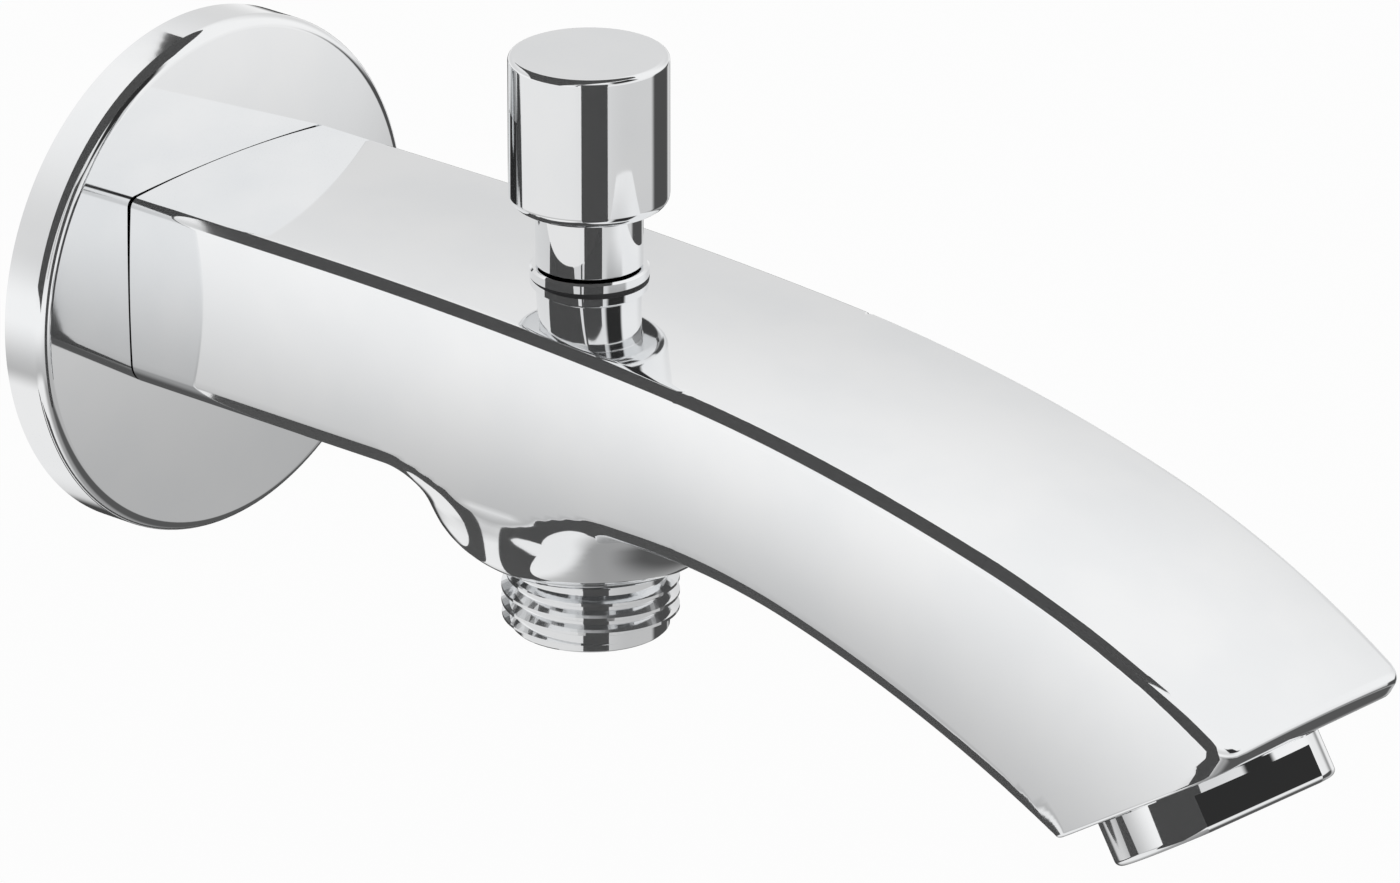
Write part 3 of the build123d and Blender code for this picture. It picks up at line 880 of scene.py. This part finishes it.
def make_nipple():
    """Nipple core: thread root, shank, valve seat, bore and hexagon key socket."""
    shell = Shell()
    angles = full_turn(NIPPLE_SEGMENTS)
    out, up = VALVE_AXIS.out(angles), VALVE_AXIS.along
    walk = [
        (THREAD_ROOT - NIPPLE_EDGE, NIPPLE_END),
        (THREAD_ROOT, NIPPLE_END + NIPPLE_EDGE),
        (THREAD_ROOT, POD_BOTTOM),
        (NIPPLE_SHANK, POD_BOTTOM),
        (NIPPLE_SHANK, NIPPLE_SHOULDER),
        (NIPPLE_NECK, NIPPLE_SHOULDER),
        (NIPPLE_NECK, SEAT_RIM_START),
        (SEAT_RIM_RADIUS, SEAT_RIM_START),
        (SEAT_RIM_RADIUS, SEAT_RIM_TOP),
        (NIPPLE_BORE, SEAT_RIM_TOP),
        (NIPPLE_BORE, NIPPLE_END + KEY_DEPTH),
    ]
    laid = [shell.ring(VALVE_AXIS.circle(r, angles, z)) for r, z in walk]
    for i in range(len(walk) - 1):
        (r, z), (r_after, z_after) = walk[i], walk[i + 1]
        facing = unit((z_after - z) * out - (r_after - r) * up)
        shell.strip(laid[i], laid[i + 1], facing, facing)
    add_key_socket(shell, angles, laid[-1], laid[0])
    return shell.make("hose_nipple", chrome)


def ring_outline(inset):
    """Outline of the aerator's ring, round with two flats: angles, radii and the facing of the flats."""
    radius, half_flats = RING_RADIUS - inset, RING_HALF_FLATS - inset
    corner = math.acos(half_flats / radius)
    angles, flat_span = [], []
    for centre in (0, math.pi):
        angles.extend(centre + np.linspace(-corner, corner, RING_FLAT_STEPS + 1)[:-1])
        flat_span.extend([centre] * RING_FLAT_STEPS)
        angles.extend(centre + np.linspace(corner, math.pi - corner, RING_ROUND_STEPS + 1)[:-1])
        flat_span.extend([None] * RING_ROUND_STEPS)
    angles = np.array(angles)
    lean = np.abs(np.cos(angles))
    on_flat = lean * radius > half_flats - TINY
    radii = np.where(on_flat, half_flats / np.maximum(lean, LEAST_DIVISOR), radius)
    return angles, radii, flat_span


def make_aerator_ring():
    """Aerator shell: plain thread core, round band, ring with spanner flats, lip and bore."""
    shell = Shell()
    side = math.sin(RING_TURN) * NEAR_SIDE - math.cos(RING_TURN) * TO_HEEL
    axis = Axis(OUTLET_POINT, OUTLET_OUT, side)
    angles, radii, _ = ring_outline(0)
    count = len(angles)
    band_end = RING_TOP + RING_BAND

    def circle(radius, height):
        return shell.ring(axis.circle(radius, angles, height))

    def side_strip(ring_a, ring_b, tilt_a, tilt_b, span_angles, flat_span):
        for i, flat in enumerate(flat_span):
            j = (i + 1) % count
            here = axis.out(span_angles[i] if flat is None else flat)
            there = axis.out(span_angles[j] if flat is None else flat)
            normals = [
                math.cos(tilt) * way + math.sin(tilt) * axis.along
                for way, tilt in ((here, tilt_a), (there, tilt_a), (there, tilt_b), (here, tilt_b))
            ]
            shell.face([ring_a[i], ring_a[j], ring_b[j], ring_b[i]], normals)

    out = axis.out(angles)
    thread_start = circle(AERATOR_THREAD, -AERATOR_THREAD_LENGTH)
    thread_end = circle(AERATOR_THREAD, RING_TOP)
    band_start, band_low = circle(RING_RADIUS, RING_TOP), circle(RING_RADIUS, band_end)
    shell.strip(thread_start, thread_end, out, out)
    shell.flat_strip(thread_end, band_start, -axis.along)
    shell.strip(band_start, band_low, out, out)
    # Shoulder over each flat, which meets the band's edge at its ends
    flat_top = list(band_low)
    for i in range(count):
        if radii[i] < RING_RADIUS - TINY:
            flat_top[i] = shell.ring(axis.at(radii[i:i + 1], angles[i:i + 1], band_end))[0]
    shell.flat_strip(band_low, flat_top, axis.along)
    # Sides, rounded in at the foot
    before, tilt_before = flat_top, 0.0
    for k in range(RING_FOOT_STEPS + 1):
        tilt = math.pi / 2 * k / RING_FOOT_STEPS
        height = RING_END - RING_FOOT * (1 - math.sin(tilt))
        foot_angles, foot_radii, flat_span = ring_outline(RING_FOOT * (1 - math.cos(tilt)))
        placed = shell.ring(axis.at(foot_radii, foot_angles, height))
        side_strip(before, placed, tilt_before, tilt, foot_angles, flat_span)
        before, tilt_before = placed, tilt
    # Lip and bore
    lip_end, lip_start = circle(RING_LIP, RING_END), circle(RING_LIP, RING_LIP_START)
    bore_end, bore_start = circle(RING_BORE, RING_LIP_START), circle(RING_BORE, -AERATOR_THREAD_LENGTH)
    shell.flat_strip(before, lip_end, axis.along)
    shell.strip(lip_end, lip_start, -out, -out)
    shell.flat_strip(lip_start, bore_end, -axis.along)
    shell.strip(bore_end, bore_start, -out, -out)
    shell.flat_strip(bore_start, thread_start, -axis.along)
    return shell.make("aerator_ring", chrome)


# Pipe threads and the valve's spring: a profile swept along a spiral with Geometry Nodes

def sweep_tree(name, inputs):
    """An empty tree with named inputs: the tree, a first wire and the inputs' wires."""
    tree = bpy.data.node_groups.new(name, "GeometryNodeTree")
    for label in inputs:
        tree.interface.new_socket(label, in_out="INPUT", socket_type="NodeSocketFloat")
    tree.interface.new_socket("Finish", in_out="INPUT", socket_type="NodeSocketMaterial")
    tree.interface.new_socket("Swept", in_out="OUTPUT", socket_type="NodeSocketGeometry")
    given = tree.nodes.new("NodeGroupInput")
    return tree, Wire(tree), {socket.name: Wire(tree, socket) for socket in given.outputs if socket.name}


def spiral(start, size):
    path = start.node("GeometryNodeCurveSpiral", None, {
        "Resolution": SPIRAL_STEPS,
        "Rotations": size["Turns"],
        "Start Radius": size["Radius"],
        "End Radius": size["Radius"],
        "Height": size["Length"],
    })
    return start.node("GeometryNodeSetCurveNormal", {"mode": "Z_UP"}, {"Curve": path})


def end_tree(start, swept, size):
    swept = start.node("GeometryNodeRealizeInstances", None, {"Geometry": swept})
    swept = start.node("GeometryNodeSetMaterial", None, {"Geometry": swept, "Material": size["Finish"]})
    start.node("NodeGroupOutput", None, {0: swept})


def thread_tree():
    """A ridge with sloping flanks, which fades out at both ends."""
    labels = ("Radius", "Turns", "Length", "Ridge Height", "Ridge Base", "Ridge Tip", "Fade")
    tree, start, size = sweep_tree("pipe_thread", labels)
    inward = -1 * size["Ridge Height"]
    corners = {}
    for name, reach, width in (
        ("Point 1", 0.0, 0.5 * size["Ridge Base"]),
        ("Point 2", inward, 0.5 * size["Ridge Tip"]),
        ("Point 3", inward, -0.5 * size["Ridge Tip"]),
        ("Point 4", 0.0, -0.5 * size["Ridge Base"]),
    ):
        corners[name] = start.node("ShaderNodeCombineXYZ", None, {"X": reach, "Y": width})
    along = start.node("GeometryNodeSplineParameter", out="Factor")
    fade = along.ease(0, size["Fade"]) * (1 - along.ease(1 - size["Fade"], 1))
    ridge = start.node("GeometryNodeCurveToMesh", None, {
        "Curve": spiral(start, size),
        "Profile Curve": start.node("GeometryNodeCurvePrimitiveQuadrilateral", {"mode": "POINTS"}, corners),
        "Scale": fade.level(THREAD_END_SHARE, 1),
        "Fill Caps": True,
    })
    end_tree(start, ridge, size)
    return tree


def spring_tree():
    """A round wire along a spiral."""
    tree, start, size = sweep_tree("coil_spring", ("Radius", "Turns", "Length", "Wire Radius"))
    sockets = {"Resolution": WIRE_STEPS, "Radius": size["Wire Radius"]}
    coil = start.node("GeometryNodeCurveToMesh", None, {
        "Curve": spiral(start, size),
        "Profile Curve": start.node("GeometryNodeCurvePrimitiveCircle", None, sockets),
        "Fill Caps": True,
    })
    end_tree(start, coil, size)
    return tree


def grow(tree, name, sizes, place):
    """The tree's result as a plain mesh object, moved to its place."""
    holder = place_mesh(name + "_path", bpy.data.meshes.new(name + "_path"))
    modifier = holder.modifiers.new("sweep", "NODES")
    modifier.node_group = tree
    for item in tree.interface.items_tree:
        if item.in_out == "INPUT":
            modifier[item.identifier] = sizes[item.name]
    graph = bpy.context.evaluated_depsgraph_get()
    mesh = bpy.data.meshes.new_from_object(holder.evaluated_get(graph), depsgraph=graph)
    holder.modifiers.remove(modifier)
    bpy.data.objects.remove(holder)
    mesh.transform(place)
    mesh.name = name
    return place_mesh(name, mesh)


THREAD_TREE = thread_tree()


def make_thread(name, length, place):
    turns = length / THREAD_PITCH
    sizes = {
        "Radius": (THREAD_ROOT - THREAD_SINK) * MM,
        "Turns": turns,
        "Length": length * MM,
        "Ridge Height": (THREAD_CREST - THREAD_ROOT + THREAD_SINK) * MM,
        "Ridge Base": THREAD_BASE * MM,
        "Ridge Tip": THREAD_TIP * MM,
        "Fade": THREAD_FADE / turns,
        "Finish": chrome_thread,
    }
    made = grow(THREAD_TREE, name, sizes, place)
    made.data.shade_flat()
    return made


def make_spring():
    """Return spring, as long as its solid is at rest."""
    low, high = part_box("return_spring")
    sizes = {
        "Radius": SPRING_RADIUS * MM,
        "Turns": SPRING_TURNS,
        "Length": high[2] - low[2] - SPRING_WIRE * MM,
        "Wire Radius": SPRING_WIRE / 2 * MM,
        "Finish": steel,
    }
    foot = Vector((VALVE_X * MM, 0, low[2] + SPRING_WIRE / 2 * MM))
    made = grow(spring_tree(), "valve_spring", sizes, Matrix.Translation(foot))
    made.data.shade_smooth()
    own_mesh(made)
    return made


# Studio: camera, light from all round with a few dark panels and screens, and a pale floor

CAMERA_WAY = Vector((math.sin(CAMERA_AZIMUTH), -math.cos(CAMERA_AZIMUTH), 0))
CAMERA_RIGHT = Vector((math.cos(CAMERA_AZIMUTH), math.sin(CAMERA_AZIMUTH), 0))
CAMERA_BACK = CAMERA_WAY * math.cos(CAMERA_ELEVATION) + Vector((0, 0, math.sin(CAMERA_ELEVATION)))
CAMERA_PLACE = CAMERA_TARGET + CAMERA_BACK * CAMERA_DISTANCE


def add_camera():
    data = bpy.data.cameras.new("camera")
    data.sensor_width = SENSOR_WIDTH
    data.lens = SENSOR_WIDTH * PIXELS_PER_MM * CAMERA_DISTANCE / FRAME_WIDTH
    data.clip_end = CAMERA_CLIP * MM
    camera = bpy.data.objects.new("camera", data)
    scene.collection.objects.link(camera)
    place = Matrix.Translation(CAMERA_PLACE * MM)
    camera.matrix_world = place @ CAMERA_BACK.to_track_quat("Z", "Y").to_matrix().to_4x4()
    scene.camera = camera


def add_studio_light():
    """World whose brightness depends on direction: bearing from the front or back and height, in degrees."""
    world = bpy.data.worlds.new("studio")
    scene.world = world
    world.use_nodes = True
    tree = world.node_tree
    start = Wire(tree)
    way = start.node("ShaderNodeTexCoord", out="Generated")
    forward, right = way.dot(CAMERA_WAY), way.dot(CAMERA_RIGHT)
    degrees = math.degrees(1)
    front = degrees * start.maths("ARCTAN2", right, forward)
    behind = degrees * start.maths("ARCTAN2", right, -1 * forward)
    height = degrees * start.maths("ARCSINE", way.dot((0, 0, 1)))
    # Upper half
    above = height.ease(*CEILING_HEIGHTS).level(*CEILING_LEVELS)
    above = front.within(*RIGHT_WALL).level(above, RIGHT_WALL_LEVEL)
    # Lower half, with the ground's three levels from left to right
    left_low = height.ease(*LEFT_LOW_HEIGHTS).level(*LEFT_LOW_LEVELS)
    right_low = height.ease(*RIGHT_LOW_HEIGHTS).level(*RIGHT_LOW_LEVELS)
    below = front.ease(*LOW_BEARINGS).level(left_low, right_low)
    ground_left, ground_middle, ground_right = GROUND_LEVELS
    ground = right.ease(*GROUND_MIDDLE).level(ground_left, ground_middle)
    ground = ground + (ground_right - ground_middle) * right.ease(*GROUND_RIGHT)
    below = height.ease(*GROUND_HEIGHTS).level(below, ground)
    light = height.ease(*HORIZON_HEIGHTS).level(below, above)
    for bearing, panels in ((behind, REAR_PANELS), (front, FRONT_PANELS)):
        for bearings, heights, level in panels:
            light = (bearing.within(*bearings) * height.within(*heights)).level(light, level)
    light = start.node("ShaderNodeLightPath", out="Is Camera Ray").level(light, 1)
    background = tree.nodes["Background"]
    tree.links.new(light.socket, background.inputs["Strength"])
    background.inputs["Color"].default_value = WHITE


def plain_material(name, shade):
    material = bpy.data.materials.new(name)
    material.use_nodes = True
    shader = material.node_tree.nodes["Principled BSDF"]
    shader.inputs["Base Color"].default_value = (shade, shade, shade, 1)
    shader.inputs["Roughness"].default_value = 1.0
    shader.inputs["Specular IOR Level"].default_value = 0.0
    return material


def clear_behind(material):
    """Let all light through the back of a sheet."""
    tree = material.node_tree
    surface = tree.nodes["Material Output"].inputs["Surface"]
    front = Wire(tree, surface.links[0].from_socket)
    back = front.node("ShaderNodeNewGeometry", out="Backfacing")
    clear = front.node("ShaderNodeBsdfTransparent")
    both = front.node("ShaderNodeMixShader", None, {0: back, 1: front, 2: clear})
    tree.links.new(both.socket, surface)


def add_sheet(name, rows, material):
    """A stage sheet through rows of points."""
    count = len(rows[0])
    points = [tuple(np.asarray(p) * MM) for row in rows for p in row]
    faces = [
        (i * count + j, i * count + j + 1, (i + 1) * count + j + 1, (i + 1) * count + j)
        for i in range(len(rows) - 1)
        for j in range(count - 1)
    ]
    mesh = bpy.data.meshes.new(name)
    mesh.from_pydata(points, [], faces)
    mesh.materials.append(material)
    return place_mesh(name, mesh)


def edge_screen(name, line, rounding, run, tilts, material, folded=False):
    """A studio screen, well away from the part, where a rounded near edge mirrors the camera's view.

    A folded screen stands where the view goes on after the flange has mirrored it too.
    """
    rows = []
    for x in np.linspace(*run, SCREEN_ROWS):
        slope = (line(x + 1) - line(x - 1)) / 2
        up = np.array((-slope, 0, 1)) / math.hypot(slope, 1)
        corner = np.array((x, -float(half_width(x)), line(x)))
        centre = corner - rounding * (NEAR_SIDE + math.copysign(1, tilts[0]) * up)
        row = []
        for tilt in np.radians(np.linspace(*tilts, SCREEN_COLUMNS)):
            facing = math.sin(tilt) * up + math.cos(tilt) * NEAR_SIDE
            foot = centre + rounding * facing
            sight = unit(foot - np.array(CAMERA_PLACE))
            spot = foot + SCREEN_DISTANCE * (sight - 2 * (sight @ facing) * facing)
            row.append((2 * FLANGE_DEPTH - spot[0], spot[1], spot[2]) if folded else tuple(spot))
        rows.append(row)
    return add_sheet(name, rows[::-1] if folded else rows, material)


def knob_card():
    """Rows of a flat card between the knob and the camera."""
    foot = np.array((VALVE_X, 0, 0)) + CARD_DISTANCE * np.array(CAMERA_WAY)
    return [[foot + side * np.array(CAMERA_RIGHT) + z * UP for side in CARD_SIDES] for z in CARD_HEIGHTS]


def add_dark_screens():
    """Black screens that only reflections see, for the knob's stripe and the lines along the near edges."""
    black = plain_material("screen_black", SCREEN_SHADE)
    clear_behind(black)
    screens = [
        add_sheet("knob_screen", knob_card(), black),
        edge_screen("upper_edge_screen", top_line, TOP_EDGE, UPPER_RUN, UPPER_TILTS, black),
        edge_screen("upper_wall_screen", top_line, TOP_EDGE, WALL_RUN, WALL_TILTS, black, folded=True),
        edge_screen("lower_root_screen", under_line, LOWER_EDGE, LOWER_ROOT_RUN, LOWER_TILTS, black),
        edge_screen("lower_edge_screen", under_line, LOWER_EDGE, LOWER_NOSE_RUN, LOWER_TILTS, black),
    ]
    for screen in screens:
        screen.visible_camera = False
        screen.visible_diffuse = False
        screen.visible_shadow = False
        screen.visible_transmission = False


def add_floor():
    """Pale floor that keeps a faint shadow, and lets the light through from below."""
    material = plain_material("pale_floor", FLOOR_SHADE)
    tree = material.node_tree
    start = Wire(tree)
    plain = Wire(tree, tree.nodes["Principled BSDF"].outputs[0])
    glow = start.node("ShaderNodeEmission", None, {"Color": WHITE, "Strength": 1.0})
    seen = start.node("ShaderNodeLightPath", out="Is Camera Ray")
    lit = start.node("ShaderNodeMixShader", None, {0: FLOOR_GLOW * seen, 1: plain, 2: glow})
    tree.links.new(lit.socket, tree.nodes["Material Output"].inputs["Surface"])
    clear_behind(material)
    ends = (-FLOOR_REACH, FLOOR_REACH)
    floor = add_sheet("floor", [[(x, y, FLOOR_LEVEL) for x in ends] for y in ends], material)
    floor.visible_glossy = False


# Finishes of the solids that show as they are
for finish_used, node_names in (
    (chrome, ("gland_nut",)),
    (brass, ("diverter_spindle", "valve_disc", "valve_nut")),
    (rubber, ("gland_washer", "spindle_o_rings", "nipple_o_ring", "aerator_washer")),
    (rubber, ("upper_valve_washer", "lower_valve_washer")),
    (steel, ("aerator_screens",)),
    (acetal, ("aerator_cup", "aerator_diffuser")),
):
    for node_name in node_names:
        cad_nodes[node_name].data.materials.clear()
        cad_nodes[node_name].data.materials.append(finish_used)

# Pieces that stand in for their solids
for made, body, slot_name, stood_for in (
    (make_body(), "spout", "chrome", "spout_body"),
    (make_flange(), "spout", "chrome", "wall_flange"),
    (make_knob(), "plunger", "chrome", "diverter_knob"),
    (make_nipple(), "spout", "chrome", "outlet_nipple"),
    (make_aerator_ring(), "spout", "chrome", "aerator_shell"),
    (make_spring(), "spout", "steel", "return_spring"),
):
    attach(made, body)
    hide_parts(stood_for)

# Thread ridges
nipple_thread = make_thread(
    "nipple_thread",
    POD_BOTTOM - NIPPLE_END - THREAD_BASE,
    Matrix.Translation(Vector((VALVE_X, 0, NIPPLE_END + THREAD_BASE / 2)) * MM),
)
spigot_foot = Vector((SPIGOT_END + THREAD_BASE / 2, 0, 0)) * MM
spigot_thread = make_thread(
    "spigot_thread",
    SEAT_START - SPIGOT_END - THREAD_BASE,
    Matrix.Translation(spigot_foot) @ Matrix.Rotation(math.pi / 2, 4, "Y"),
)
for thread in (nipple_thread, spigot_thread):
    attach(thread, "spout")

add_camera()
add_studio_light()
add_dark_screens()
add_floor()
